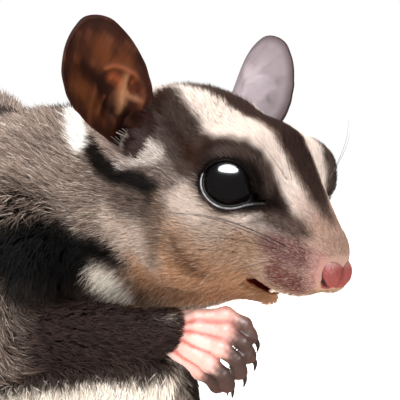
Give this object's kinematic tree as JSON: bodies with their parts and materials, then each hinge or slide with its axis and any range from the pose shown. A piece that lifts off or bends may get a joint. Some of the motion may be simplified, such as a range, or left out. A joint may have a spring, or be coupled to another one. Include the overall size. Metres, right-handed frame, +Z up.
{
  "type": "sugar glider",
  "caption": "Life-size still model of a crouched sugar glider with large eyes, cupped ears, gliding folds and a bushy tail, right forepaw raised.",
  "frame": {"origin": "on the floor plane, under the middle of the whole model's bounding box", "axes": "+Z up from the floor; the nose points to -Y and the tail to +Y; the animal's left is at +X"},
  "size_m": [0.152, 0.2394, 0.0655],
  "materials": {
    "coat": "soft dense fur, grey-brown with cream and black markings",
    "pale": "soft cream fur fringe",
    "dark": "soft black-brown fur",
    "skin": "bare pink skin, satin",
    "ear": "thin bare ear skin, satin",
    "eye": "wet glossy black",
    "claw": "dark horn"
  },
  "bodies": {
    "root": {"head": "coat", "nose": "skin", "neck": "coat", "chest": "coat", "belly": "coat", "rump": "coat", "ear_left": "ear", "ear_right": "ear", "eye_left": "eye", "eye_right": "eye", "membrane_left": "pale", "membrane_right": "pale", "upper_arm_right": "coat", "upper_arm_left": "coat", "forearm_right": "coat", "forearm_left": "coat", "thigh_right": "coat", "thigh_left": "coat", "shank_right": "coat", "shank_left": "coat", "hand_right": "skin", "hand_left": "skin", "foot_right": "skin", "foot_left": "skin", "tail_root": "coat", "tail_middle": "coat", "tail_end": "coat", "tail_brush": "dark"}
  },
  "joints": []
}
